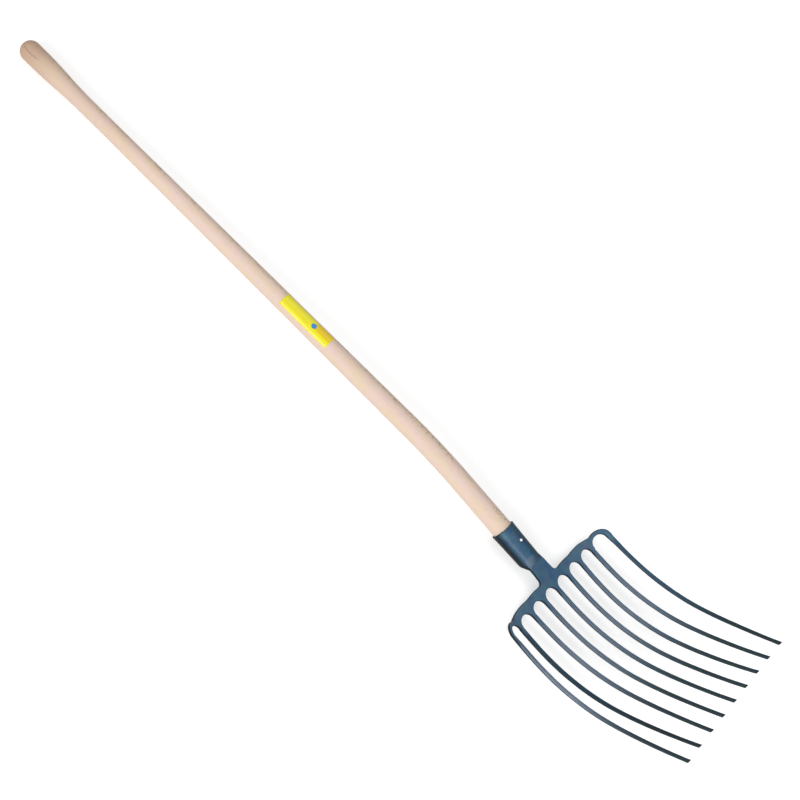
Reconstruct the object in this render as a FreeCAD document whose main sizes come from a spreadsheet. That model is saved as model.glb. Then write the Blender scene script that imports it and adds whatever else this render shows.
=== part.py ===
import FreeCAD, Part
import math
import os

import Sketcher

# Stone fork: a nine-tine forged head on a long bent handle with a knob end.
#
# All pieces are drawn in the frame of the head: X runs across the tines, Y along them
# towards the tips, Z up on the scoop side. The tine roots stand on the plane Y = 0 and
# the middle of the head plate's thickness is Z = 0. At the end every piece gets the same
# Placement, which lays the fork on its back on the ground, scoop side up.

SIZES = {
    # handle, from the knob forwards
    "knob_diameter": 38.2,
    "knob_length": 36.0,
    "swell_length": 125.0,
    "grip_diameter": 29.4,
    "grip_length": 39.0,
    "straight_length": 953.0,
    "shaft_diameter": 37.4,
    "bend_radius": 965.0,
    "bend_angle": 7.7,
    "shaft_length": 108.0,
    "tenon_length": 60.0,
    "tenon_chamfer": 3.0,
    # socket, from its mouth forwards
    "socket_length": 70.0,
    "socket_end_diameter": 40.0,
    "socket_wall": 3.2,
    "socket_clearance": 0.1,
    "socket_drop": 8.9,
    "rim_setback": 2.0,
    "rim_flare": 1.2,
    "rim_flare_length": 5.0,
    "heel_flat_depth": 0.8,
    "heel_flat_angle": 6.2,
    "swage_length": 14.5,
    "swage_hollow_length": 9.5,
    "swage_slit_width": 28.0,
    "swage_slit_height": 1.2,
    "swage_corner_angle": 35.0,
    # neck and crossbar
    "plate_thickness": 6.6,
    "neck_length": 29.0,
    "neck_back_width": 36.6,
    "neck_front_width": 40.0,
    "neck_corner_radius": 8.0,
    "crossbar_depth": 26.5,
    "crossbar_back_width": 194.0,
    "crossbar_bulge_radius": 150.0,
    "gap_end_advance": 1.2,
    "loop_radius": 21.0,
    "loop_setback": 2.5,
    "notch_angle": 25.0,
    "flank_start_width": 224.0,
    "flank_angle": 30.0,
    "flank_bend_radius": 30.0,
    # tines
    "tine_pitch": 36.7,
    "tip_pitch": 37.5,
    "outer_root_offset": 144.5,
    "tine_root_width": 8.6,
    "tine_width": 8.2,
    "tip_width": 5.8,
    "tip_thickness": 5.6,
    "tine_corner_radius": 1.6,
    "tip_corner_radius": 0.9,
    "root_straight": 5.0,
    "root_arc_radius": 459.0,
    "root_arc_angle": 7.9,
    "belly_arc_radius": 270.4,
    "belly_arc_angle": 33.9,
    "tip_arc_radius": 817.5,
    "tip_arc_angle": 10.15,
    "inner_bow": -1.5,
    "second_bow": -3.0,
    "third_bow": 1.5,
    "outer_bow": 3.0,
    "outer_belly_lift": 6.6,
    "outer_tip_lift": 2.1,
    # nail that holds the handle in the socket
    "nail_offset": 33.8,
    "nail_diameter": 2.8,
    "nail_length": 18.0,
    "nail_point_length": 4.0,
    "nail_head_diameter": 5.0,
    "nail_head_height": 1.1,
    "nail_head_rim": 0.5,
    "nail_clearance": 0.1,
    # paper label round the handle
    "label_offset": 645.0,
    "label_length": 111.5,
    "label_half_angle": 42.5,
    "label_turn": 17.5,
    "label_thickness": 0.2,
    "label_glue": 0.3,
    # how far cuts run past what they cut
    "overrun": 5.0,
}

# Counts: tines in the head, and sections that each tine is lofted through.
TINES = 9
OUTER = TINES // 2
STATIONS = 9


class Size:
    """A size as a number and as the sheet expression that gives it."""

    def __init__(self, value, text):
        self.value = value
        self.text = text

    @staticmethod
    def of(other):
        return other if isinstance(other, Size) else Size(float(other), str(other))

    def __add__(self, other):
        other = Size.of(other)
        return Size(self.value + other.value, f"({self.text} + {other.text})")

    def __sub__(self, other):
        other = Size.of(other)
        return Size(self.value - other.value, f"({self.text} - {other.text})")

    def __mul__(self, other):
        other = Size.of(other)
        return Size(self.value * other.value, f"({self.text} * {other.text})")

    def __truediv__(self, other):
        other = Size.of(other)
        return Size(self.value / other.value, f"({self.text} / {other.text})")

    def __neg__(self):
        return Size(-self.value, f"(-{self.text})")


ZERO = Size(0.0, "0")


def sine(angle):
    return Size(math.sin(math.radians(angle.value)), f"sin({angle.text})")


def cosine(angle):
    return Size(math.cos(math.radians(angle.value)), f"cos({angle.text})")


def tangent(angle):
    return Size(math.tan(math.radians(angle.value)), f"tan({angle.text})")


doc = FreeCAD.newDocument("stone_fork")
sheet = doc.addObject("Spreadsheet::Sheet", "sizes")
for row, (name, value) in enumerate(SIZES.items(), start=1):
    sheet.set(f"A{row}", name)
    sheet.set(f"B{row}", str(value))
    sheet.setAlias(f"B{row}", name)
doc.recompute()


def size(name):
    return Size(float(sheet.get(name)), f"sizes.{name}")


def new_body(label):
    body = doc.addObject("PartDesign::Body", label)
    body.Label = label
    return body


def new_sketch(body, name, role, offset=FreeCAD.Placement()):
    """A sketch on one of the body's origin planes, moved by offset in the plane's axes."""
    planes = [feature for feature in body.Origin.OriginFeatures if feature.Role == role]
    sketch = body.newObject("Sketcher::SketchObject", name)
    sketch.AttachmentSupport = [(planes[0], "")]
    sketch.MapMode = "FlatFace"
    sketch.AttachmentOffset = offset
    return sketch


def hold(sketch, kind, places, wanted):
    """Add one dimension to a sketch and bind it to its size."""
    number = sketch.addConstraint(Sketcher.Constraint(kind, *places, wanted.value))
    name = f"{kind.lower()}_{number}"
    sketch.renameConstraint(number, name)
    sketch.setExpression(f"Constraints.{name}", wanted.text)


def draw_outline(sketch, corners, bends=None):
    """A closed outline: each corner is an (x, y) pair of sizes. bends gives, for the
    edge that leaves a corner, its radius and whether its centre lies to the left."""
    bends = bends or {}
    first = sketch.GeometryCount
    count = len(corners)
    points = [FreeCAD.Vector(x.value, y.value, 0) for x, y in corners]
    ends = []
    for edge in range(count):
        start, stop = points[edge], points[(edge + 1) % count]
        if edge in bends:
            radius, centre_left = bends[edge]
            half = (stop - start) * 0.5
            rise = math.sqrt(radius.value ** 2 - half.Length ** 2)
            side = FreeCAD.Vector(-half.y, half.x, 0).normalize()
            centre = start + half + side * (rise if centre_left else -rise)
            begin, end = (start, stop) if centre_left else (stop, start)
            circle = Part.Circle(centre, FreeCAD.Vector(0, 0, 1), radius.value)
            arc = Part.ArcOfCircle(circle, circle.parameter(begin), circle.parameter(end))
            sketch.addGeometry(arc, False)
            ends.append((1, 2) if centre_left else (2, 1))
        else:
            sketch.addGeometry(Part.LineSegment(start, stop), False)
            ends.append((1, 2))
    for edge in range(count):
        after = (edge + 1) % count
        joined = (first + edge, ends[edge][1], first + after, ends[after][0])
        sketch.addConstraint(Sketcher.Constraint("Coincident", *joined))
    for edge, (x, y) in enumerate(corners):
        hold(sketch, "DistanceX", (first + edge, ends[edge][0]), x)
        hold(sketch, "DistanceY", (first + edge, ends[edge][0]), y)
    for edge, (radius, centre_left) in bends.items():
        hold(sketch, "Radius", (first + edge,), radius)


def draw_circle(sketch, x, y, radius):
    centre = FreeCAD.Vector(x.value, y.value, 0)
    circle = Part.Circle(centre, FreeCAD.Vector(0, 0, 1), radius.value)
    number = sketch.addGeometry(circle, False)
    hold(sketch, "DistanceX", (number, 3), x)
    hold(sketch, "DistanceY", (number, 3), y)
    hold(sketch, "Radius", (number,), radius)


def draw_axis(sketch, start, stop):
    """A construction line that a revolution turns about."""
    points = [FreeCAD.Vector(x.value, y.value, 0) for x, y in (start, stop)]
    number = sketch.addGeometry(Part.LineSegment(*points), True)
    for end, (x, y) in ((1, start), (2, stop)):
        hold(sketch, "DistanceX", (number, end), x)
        hold(sketch, "DistanceY", (number, end), y)


def revolve(body, name, sketch, angle=None, midplane=False):
    """Turn a sketch about its own construction line, all round or by an angle."""
    feature = body.newObject("PartDesign::Revolution", name)
    feature.Profile = sketch
    feature.ReferenceAxis = (sketch, ["Axis0"])
    feature.Midplane = midplane
    if angle:
        feature.setExpression("Angle", angle.text)
    return feature


def pocket(body, name, sketch, length, upwards=False, midplane=False):
    feature = body.newObject("PartDesign::Pocket", name)
    feature.Profile = sketch
    feature.Midplane = midplane
    feature.Reversed = upwards
    feature.setExpression("Length", length.text)
    return feature


def loft(body, kind, name, sketches):
    feature = body.newObject(f"PartDesign::{kind}", name)
    feature.Profile = sketches[0]
    feature.Sections = [(sketch, [""]) for sketch in sketches[1:]]
    feature.Ruled = False
    return feature


# Places along the head, measured back from the tine roots.
overrun = size("overrun")
neck_back = size("crossbar_depth") + size("neck_length")
swage_back = neck_back + size("swage_length")
mouth = swage_back + size("socket_length")
bend_front = mouth + size("shaft_length")
bend_back = bend_front + size("bend_radius") * sine(size("bend_angle"))
bend_sink = size("bend_radius") * (Size.of(1) - cosine(size("bend_angle")))
mouth_diameter = size("shaft_diameter") + (size("socket_clearance") + size("socket_wall")) * 2
bore_taper = mouth_diameter - size("socket_end_diameter")
nail_place = mouth - size("nail_offset")


def across(position):
    """Offset of a cross-section sketch that stands at this distance behind the roots."""
    return FreeCAD.Placement(FreeCAD.Vector(0, 0, position.value), FreeCAD.Rotation())


def handle_axis():
    """Offset of a side sketch whose X axis is the axis of the straight handle."""
    base = FreeCAD.Vector(-bend_back.value, -(size("socket_drop") + bend_sink).value, 0)
    turn = FreeCAD.Rotation(FreeCAD.Vector(0, 0, 1), size("bend_angle").value)
    return FreeCAD.Placement(base, turn)


def build_handle():
    """Turned wooden handle: knob, slim grip, widening shaft, steamed bend and tenon."""
    body = new_body("handle")
    knob = size("knob_diameter") / 2
    grip = size("grip_diameter") / 2
    shaft = size("shaft_diameter") / 2
    drop = size("socket_drop")

    straight = new_sketch(body, "straight_profile", "YZ_Plane", handle_axis())
    end = -size("straight_length")
    knob_end = end + size("knob_length")
    swell_end = knob_end + size("swell_length")
    grip_end = swell_end + size("grip_length")
    swell_middle = knob_end + size("swell_length") / 2
    swell_drop = knob - grip
    swell_radius = size("swell_length") * size("swell_length") / (swell_drop * 4) + swell_drop / 4
    corners = [
        (ZERO, ZERO),
        (ZERO, shaft),
        (grip_end, grip),
        (swell_end, grip),
        (swell_middle, (knob + grip) / 2),
        (knob_end, knob),
        (end + knob, knob),
        (end, ZERO),
    ]
    rounds = {3: (swell_radius, False), 4: (swell_radius, True), 6: (knob, True)}
    draw_outline(straight, corners, rounds)
    draw_axis(straight, (end, ZERO), (ZERO, ZERO))
    revolve(body, "straight", straight)

    bend = new_sketch(body, "bend_profile", "XZ_Plane", across(bend_front))
    draw_circle(bend, ZERO, -drop, shaft)
    centre = -(drop + size("bend_radius"))
    draw_axis(bend, (-shaft, centre), (shaft, centre))
    revolve(body, "bend", bend, size("bend_angle"))

    front = new_sketch(body, "front_profile", "YZ_Plane")
    tenon_end = mouth - size("tenon_length")
    chamfer = size("tenon_chamfer")
    narrowing = bore_taper / 2 / size("socket_length")
    tenon_radius = shaft - narrowing * (size("tenon_length") - chamfer)
    corners = [
        (-bend_front, -drop),
        (-bend_front, shaft - drop),
        (-mouth, shaft - drop),
        (-(tenon_end + chamfer), tenon_radius - drop),
        (-tenon_end, tenon_radius - chamfer - drop),
        (-tenon_end, -drop),
    ]
    draw_outline(front, list(reversed(corners)))
    draw_axis(front, (-bend_front, -drop), (-tenon_end, -drop))
    revolve(body, "front", front)

    hole = new_sketch(body, "nail_hole_profile", "XY_Plane", nail_floor())
    draw_circle(hole, ZERO, -nail_place, size("nail_diameter") / 2)
    pocket(body, "nail_hole", hole, size("nail_length") + overrun, upwards=True)
    return body


def nail_seat():
    """Height of the socket's crown under the nail's head, above the socket's axis."""
    reach = size("nail_offset") - size("nail_head_diameter") / 2
    return (mouth_diameter - bore_taper * reach / size("socket_length")) / 2


def nail_floor():
    """Offset of a level sketch at the depth that the nail's point reaches."""
    depth = nail_seat() - size("nail_length") - size("socket_drop")
    return FreeCAD.Placement(FreeCAD.Vector(0, 0, depth.value), FreeCAD.Rotation())


def round_section(sketch, radius, middle):
    """A circle cut in four arcs, so that it lofts onto a rectangle corner by corner."""
    angle = size("swage_corner_angle")
    wide = radius * cosine(angle)
    high = radius * sine(angle)
    corners = [
        (wide, middle - high),
        (wide, middle + high),
        (-wide, middle + high),
        (-wide, middle - high),
    ]
    draw_outline(sketch, corners, {edge: (radius, True) for edge in range(4)})


def flat_section(sketch, width, height, middle):
    corners = [
        (width / 2, middle - height / 2),
        (width / 2, middle + height / 2),
        (-width / 2, middle + height / 2),
        (-width / 2, middle - height / 2),
    ]
    draw_outline(sketch, corners)


def build_socket():
    """Tapered tube that takes the handle, swaged flat at its front into the neck."""
    body = new_body("socket")
    drop = size("socket_drop")
    wall = size("socket_wall")
    mouth_radius = mouth_diameter / 2
    end_radius = size("socket_end_diameter") / 2

    flare = size("rim_flare_length")
    rim_radius = mouth_radius + size("rim_flare")

    tube = new_sketch(body, "tube_profile", "YZ_Plane")
    corners = [
        (-mouth, mouth_radius - wall - drop),
        (-swage_back, end_radius - wall - drop),
        (-swage_back, end_radius - drop),
        (-(mouth - flare), mouth_radius - bore_taper / 2 * flare / size("socket_length") - drop),
        (-mouth, rim_radius - drop),
    ]
    draw_outline(tube, corners)
    draw_axis(tube, (-mouth, -drop), (-swage_back, -drop))
    revolve(body, "tube", tube)

    back = new_sketch(body, "swage_back_profile", "XZ_Plane", across(swage_back))
    round_section(back, end_radius, -drop)
    front = new_sketch(body, "swage_front_profile", "XZ_Plane", across(neck_back))
    flat_section(front, size("neck_back_width"), size("plate_thickness"), ZERO)
    loft(body, "AdditiveLoft", "swage", [back, front])

    hollow_back = new_sketch(body, "hollow_back_profile", "XZ_Plane", across(swage_back))
    round_section(hollow_back, end_radius - wall, -drop)
    hollow_end = swage_back - size("swage_hollow_length")
    hollow_front = new_sketch(body, "hollow_front_profile", "XZ_Plane", across(hollow_end))
    middle = -drop * (Size.of(1) - size("swage_hollow_length") / size("swage_length"))
    flat_section(hollow_front, size("swage_slit_width"), size("swage_slit_height"), middle)
    loft(body, "SubtractiveLoft", "swage_hollow", [hollow_back, hollow_front])

    rim = new_sketch(body, "rim_profile", "YZ_Plane")
    low = -(drop + rim_radius)
    high = rim_radius - drop
    corners = [(-mouth, low), (-(mouth - size("rim_setback")), high), (-mouth, high)]
    draw_outline(rim, corners)
    pocket(body, "rim", rim, rim_radius * 2 + overrun, midplane=True)

    heel = new_sketch(body, "heel_profile", "YZ_Plane")
    slope = tangent(size("heel_flat_angle"))
    level = size("heel_flat_depth") - drop - end_radius
    behind = size("socket_length") / 2
    corners = [
        (-(swage_back + behind), level - slope * behind - overrun),
        (overrun - swage_back, level - slope * behind - overrun),
        (overrun - swage_back, level + slope * overrun),
        (-(swage_back + behind), level - slope * behind),
    ]
    draw_outline(heel, corners)
    pocket(body, "heel", heel, end_radius * 2 + overrun, midplane=True)

    hole = new_sketch(body, "nail_hole_profile", "XY_Plane", nail_floor())
    radius = size("nail_diameter") / 2 + size("nail_clearance")
    draw_circle(hole, ZERO, -nail_place, radius)
    pocket(body, "nail_hole", hole, size("nail_length") + overrun, upwards=True)
    return body


def strip_corners():
    """Front view of the crossbar: flat in the middle, its ends turned up as flanks."""
    half = size("plate_thickness") / 2
    angle = size("flank_angle")
    knee = size("flank_start_width") / 2
    turn = size("flank_bend_radius") * tangent(angle / 2)
    reach = size("outer_root_offset") + size("tine_root_width") - knee
    rise = reach * tangent(angle)
    side = [
        (knee - turn, -half),
        (knee + turn * cosine(angle) + half * sine(angle), turn * sine(angle) - half * cosine(angle)),
        (knee + reach + half * sine(angle), rise - half * cosine(angle)),
        (knee + reach - half * sine(angle), rise + half * cosine(angle)),
        (knee + turn * cosine(angle) - half * sine(angle), turn * sine(angle) + half * cosine(angle)),
        (knee - turn, half),
    ]
    other = [(-x, y) for x, y in reversed(side)]
    inner = size("flank_bend_radius") - half
    outer = size("flank_bend_radius") + half
    rounds = {0: (outer, True), 4: (inner, False), 6: (inner, False), 10: (outer, True)}
    return side + other, rounds


def plate_corners():
    """Plan of the neck and crossbar, whose ends are rounded into the corner loops."""
    depth = size("crossbar_depth")
    neck = size("neck_front_width") / 2
    fillet = size("neck_corner_radius")
    loop = size("loop_radius")
    setback = size("loop_setback")
    reach = size("outer_root_offset") + size("tine_root_width") / 2
    centre = reach - loop
    slope = (size("neck_front_width") - size("neck_back_width")) / size("neck_length") / 2
    back = size("crossbar_back_width") / 2
    bulge = size("crossbar_bulge_radius")
    notch = size("notch_angle")
    side = [
        (size("neck_back_width") / 2 - slope * overrun, -(neck_back + overrun)),
        (neck - slope * fillet, -(depth + fillet)),
        (neck + fillet, -depth),
        ((neck + fillet + back) / 2, -depth),
        (back, -depth),
        (centre - loop * sine(notch), -(setback + loop * cosine(notch))),
        (reach, -setback),
        (reach, overrun),
    ]
    other = [(-x, y) for x, y in reversed(side)]
    rounds = {1: (fillet, False), 2: (bulge, True), 3: (bulge, True), 5: (loop, True)}
    last = len(side) * 2 - 2
    rounds.update({last - edge: bend for edge, bend in rounds.items()})
    return side + other, rounds


def build_head_plate():
    """Forged neck and crossbar with the rounded ends of the eight gaps cut into it."""
    body = new_body("head_plate")
    strip = new_sketch(body, "strip_profile", "XZ_Plane")
    corners, rounds = strip_corners()
    draw_outline(strip, corners, rounds)
    bar = body.newObject("PartDesign::Pad", "strip")
    bar.Profile = strip
    bar.setExpression("Length", neck_back.text)

    plan = new_sketch(body, "plan_profile", "XY_Plane")
    corners, rounds = plate_corners()
    draw_outline(plan, corners, rounds)
    wide = size("outer_root_offset") + size("tine_root_width") * 2
    back = -(neck_back + overrun * 2)
    frame = [(wide, back), (wide, overrun * 2), (-wide, overrun * 2), (-wide, back)]
    draw_outline(plan, frame)
    depth = (wide - size("flank_start_width") / 2) * tangent(size("flank_angle"))
    depth = (depth + size("plate_thickness")) * 2 + overrun
    pocket(body, "plan", plan, depth, midplane=True)

    gaps = new_sketch(body, "gap_profile", "XY_Plane")
    for x, y, radius in gap_ends():
        for middle in (x, -x):
            corners = [
                (middle - radius, overrun),
                (middle - radius, y),
                (middle, y - radius),
                (middle + radius, y),
                (middle + radius, overrun),
            ]
            draw_outline(gaps, corners, {1: (radius, True), 2: (radius, True)})
    pocket(body, "gaps", gaps, depth, midplane=True)
    return body


def gap_ends():
    """Centre and radius of each round gap end on one side, from the middle outwards."""
    pitch = size("tine_pitch")
    root = size("tine_root_width")
    advance = size("gap_end_advance")
    ends = []
    for step in range(OUTER - 1):
        ends.append((pitch * (2 * step + 1) / 2, advance, (pitch - root) / 2))
    inner = pitch * (OUTER - 1)
    last = size("outer_root_offset") - inner
    ends.append((inner + last / 2, -size("loop_setback"), (last - root) / 2))
    return ends


def tine_bow(rank):
    """How far a tine bows sideways between root and tip; the middle one is straight."""
    names = ["inner_bow", "second_bow", "third_bow", "outer_bow"]
    return size(names[rank - 1]).value if rank else 0.0


def tine_curve(distance):
    """Side view of a tine: where it is after this length along it, starting level."""
    y, z, slope = 0.0, 0.0, 0.0
    run = min(distance, size("root_straight").value)
    y += run
    left = distance - run
    for name in ("root", "belly", "tip"):
        radius = size(f"{name}_arc_radius").value
        angle = math.radians(size(f"{name}_arc_angle").value)
        turn = min(left / radius, angle)
        y += radius * (math.sin(slope + turn) - math.sin(slope))
        z += radius * (math.cos(slope) - math.cos(slope + turn))
        slope += turn
        left -= turn * radius
    return y, z


def tine_length():
    length = size("root_straight").value
    for name in ("root", "belly", "tip"):
        angle = math.radians(size(f"{name}_arc_angle").value)
        length += size(f"{name}_arc_radius").value * angle
    return length


def tine_place(row, share):
    """Centre of a tine's section at a share of its length. row counts from the middle."""
    side = -1 if row < 0 else 1
    rank = abs(row)
    root = rank * size("tine_pitch").value
    lift = 0.0
    if rank == OUTER:
        root = size("outer_root_offset").value
        climb = root - size("flank_start_width").value / 2
        lift = climb * tangent(size("flank_angle")).value * (1 - share)
        lift += size("outer_belly_lift").value * 4 * share * (1 - share)
        lift += size("outer_tip_lift").value * share
    tip = rank * size("tip_pitch").value
    x = root + (tip - root) * share + tine_bow(rank) * 4 * share * (1 - share)
    y, z = tine_curve(share * tine_length())
    return FreeCAD.Vector(side * x, y, z + lift)


def tine_offset(row, share):
    """Offset of a section sketch that stands square to the tine at this share."""
    place = tine_place(row, share)
    slope = 0.0
    roll = 0.0
    if share > 0:
        step = 0.5 / STATIONS
        before = tine_place(row, share - step)
        after = tine_place(row, min(share + step, 1))
        slope = math.degrees(math.atan2(after.z - before.z, after.y - before.y))
        if abs(row) == OUTER:
            roll = size("flank_angle").value * (1 - share) ** 2 * (1 if row > 0 else -1)
    tilt = FreeCAD.Rotation(FreeCAD.Vector(1, 0, 0), slope)
    turn = FreeCAD.Rotation(FreeCAD.Vector(0, 0, 1), roll)
    return FreeCAD.Placement(FreeCAD.Vector(place.x, place.z, -place.y), tilt.multiply(turn))


def rounded_section(sketch, width, height, corner):
    """A bar's section with rounded edges."""
    wide, high = width / 2, height / 2
    flat_wide, flat_high = wide - corner, high - corner
    corners = [
        (wide, -flat_high),
        (wide, flat_high),
        (flat_wide, high),
        (-flat_wide, high),
        (-wide, flat_high),
        (-wide, -flat_high),
        (-flat_wide, -high),
        (flat_wide, -high),
    ]
    draw_outline(sketch, corners, {edge: (corner, True) for edge in (1, 3, 5, 7)})


def leaning_section(sketch, width, height, corner, lean):
    """A bar's section with upright sides and a leaning top, as the crossbar's flank has."""
    wide = width / 2
    half = height / cosine(lean) / 2
    rise = wide * tangent(lean)
    sharp = corner / tangent((Size.of(90) - lean) / 2)
    blunt = corner / tangent((Size.of(90) + lean) / 2)
    run, climb = cosine(lean), sine(lean)
    corners = [
        (wide, rise - half + blunt),
        (wide, rise + half - sharp),
        (wide - run * sharp, rise + half - climb * sharp),
        (run * blunt - wide, climb * blunt + half - rise),
        (-wide, half - rise - blunt),
        (-wide, sharp - rise - half),
        (run * sharp - wide, climb * sharp - rise - half),
        (wide - run * blunt, rise - half - climb * blunt),
    ]
    draw_outline(sketch, corners, {edge: (corner, True) for edge in (1, 3, 5, 7)})


def build_tine(label, row):
    """One drawn-out tine, swept up through the scoop to its blunt tip."""
    body = new_body(label)
    sections = []
    for station in range(STATIONS):
        share = station / (STATIONS - 1)
        sketch = new_sketch(body, f"section_{station}", "XZ_Plane", tine_offset(row, share))
        width = size("tine_width") + (size("tip_width") - size("tine_width")) * share
        thick = size("plate_thickness")
        thick += (size("tip_thickness") - size("plate_thickness")) * share
        corner = size("tine_corner_radius")
        corner += (size("tip_corner_radius") - size("tine_corner_radius")) * share
        if station == 0:
            width = size("tine_root_width")
        if station == 0 and abs(row) == OUTER:
            lean = size("flank_angle") * (1 if row > 0 else -1)
            leaning_section(sketch, width, thick, corner, lean)
        else:
            rounded_section(sketch, width, thick, corner)
        sections.append(sketch)
    loft(body, "AdditiveLoft", "bar", sections)
    return body


def build_nail():
    """Round-headed steel nail driven down through the socket into the handle."""
    body = new_body("fixing_nail")
    seat = nail_seat() - size("socket_drop")
    head = size("nail_head_diameter") / 2
    shank = size("nail_diameter") / 2
    rim = seat + size("nail_head_rim")
    dome = size("nail_head_height") - size("nail_head_rim")
    point = seat - size("nail_length")
    dome_radius = (head * head / dome + dome) / 2
    sketch = new_sketch(body, "nail_profile", "XZ_Plane", across(nail_place))
    corners = [
        (ZERO, point),
        (shank, point + size("nail_point_length")),
        (shank, seat),
        (head, seat),
        (head, rim),
        (ZERO, rim + dome),
    ]
    draw_outline(sketch, corners, {4: (dome_radius, True)})
    draw_axis(sketch, (ZERO, point), (ZERO, rim + dome))
    revolve(body, "nail", sketch)
    return body


def build_label():
    """Thin paper label stuck round the top of the handle."""
    body = new_body("label")
    start = -size("straight_length") + size("label_offset")
    stop = start + size("label_length")
    grip_end = size("knob_length") + size("swell_length") + size("grip_length")
    run = size("straight_length") - grip_end
    widening = (size("shaft_diameter") - size("grip_diameter")) / run / 2
    shaft = size("shaft_diameter") / 2
    low = shaft + widening * start + size("label_glue")
    high = shaft + widening * stop + size("label_glue")
    skin = size("label_thickness")
    axis = handle_axis()
    turn = FreeCAD.Rotation(FreeCAD.Vector(1, 0, 0), size("label_turn").value)
    offset = FreeCAD.Placement(axis.Base, axis.Rotation.multiply(turn))
    sketch = new_sketch(body, "label_profile", "YZ_Plane", offset)
    corners = [(start, low), (stop, high), (stop, high + skin), (start, low + skin)]
    draw_outline(sketch, corners)
    draw_axis(sketch, (start, ZERO), (stop, ZERO))
    revolve(body, "wrap", sketch, size("label_half_angle") * 2, midplane=True)
    return body


def lying_pitch():
    """Turn about X that sets the knob and the socket's heel on one level."""
    slope = math.radians(size("bend_angle").value)
    knob = size("knob_diameter").value / 2
    back = size("straight_length").value - knob
    knob_y = -bend_back.value - back * math.cos(slope) + knob * math.sin(slope)
    knob_z = -(size("socket_drop") + bend_sink).value - back * math.sin(slope)
    knob_z -= knob * math.cos(slope)
    heel = size("heel_flat_depth") - size("socket_drop") - size("socket_end_diameter") / 2
    return -math.degrees(math.atan2(heel.value - knob_z, -swage_back.value - knob_y))


def lay_down(bodies):
    """Give every piece the Placement that rests the fork on the ground."""
    turn = FreeCAD.Rotation(FreeCAD.Vector(1, 0, 0), lying_pitch())
    for body in bodies:
        body.Placement = FreeCAD.Placement(FreeCAD.Vector(0, 0, 0), turn)
    doc.recompute()
    boxes = [body.Shape.optimalBoundingBox(False) for body in bodies]
    low = min(box.ZMin for box in boxes)
    middle = (min(box.YMin for box in boxes) + max(box.YMax for box in boxes)) / 2
    for body in bodies:
        body.Placement = FreeCAD.Placement(FreeCAD.Vector(0, -middle, -low), turn)
    doc.recompute()
    print(f"pitch {turn.toEuler()[2]:.4f} shift {-middle:.4f} lift {-low:.4f}")


bodies = [build_handle(), build_socket(), build_head_plate()]
for number in range(TINES):
    bodies.append(build_tine(f"tine_{number + 1}", number - OUTER))
bodies += [build_nail(), build_label()]
doc.recompute()

for item in doc.Objects:
    if "Invalid" in item.State or "Error" in item.State:
        raise RuntimeError(f"{item.Name} failed: {item.State}")
lay_down(bodies)
for body in bodies:
    if body.Shape.isNull() or not body.Shape.isValid() or len(body.Shape.Solids) != 1:
        raise RuntimeError(f"{body.Label} has a bad shape")

os.makedirs("parts", exist_ok=True)
for body in bodies:
    body.Shape.exportStep(f"parts/{body.Label}.step")
    print(f"{body.Label}: {body.Shape.Volume:.0f} cubic mm")
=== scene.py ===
import math

import bpy
import numpy as np
from mathutils import Euler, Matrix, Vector, noise


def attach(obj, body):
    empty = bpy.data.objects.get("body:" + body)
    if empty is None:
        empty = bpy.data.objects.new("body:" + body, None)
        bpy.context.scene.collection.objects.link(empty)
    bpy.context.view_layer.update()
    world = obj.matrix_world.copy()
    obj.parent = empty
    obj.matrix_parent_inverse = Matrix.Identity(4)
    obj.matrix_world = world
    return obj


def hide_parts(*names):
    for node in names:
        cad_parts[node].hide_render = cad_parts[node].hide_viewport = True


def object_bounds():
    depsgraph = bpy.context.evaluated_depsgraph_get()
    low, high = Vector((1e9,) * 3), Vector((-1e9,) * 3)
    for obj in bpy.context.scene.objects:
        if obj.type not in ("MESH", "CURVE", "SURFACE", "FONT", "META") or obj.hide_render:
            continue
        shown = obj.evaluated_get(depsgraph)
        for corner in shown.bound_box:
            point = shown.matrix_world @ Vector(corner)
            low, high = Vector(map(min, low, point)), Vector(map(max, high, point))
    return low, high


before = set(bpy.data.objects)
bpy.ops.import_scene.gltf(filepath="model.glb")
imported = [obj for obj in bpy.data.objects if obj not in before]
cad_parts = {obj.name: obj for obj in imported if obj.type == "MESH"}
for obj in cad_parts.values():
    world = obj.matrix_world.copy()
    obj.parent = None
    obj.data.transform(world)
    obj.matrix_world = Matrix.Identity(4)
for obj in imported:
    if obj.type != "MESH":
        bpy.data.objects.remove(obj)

cad_box = [list(corner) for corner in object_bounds()]

# The ground under the fork and the plain studio sweep behind it: a matt white sheet, wide
# enough to fill every view. It keeps the fork's soft shadow.
FLOOR_HALF = 30.0
FLOOR_DROP = 0.0004
FLOOR_WHITE = 0.8
FLOOR_LIFT = (0.5, 0.5, 0.5)
NO_LIGHT = (0.0, 0.0, 0.0)


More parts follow.
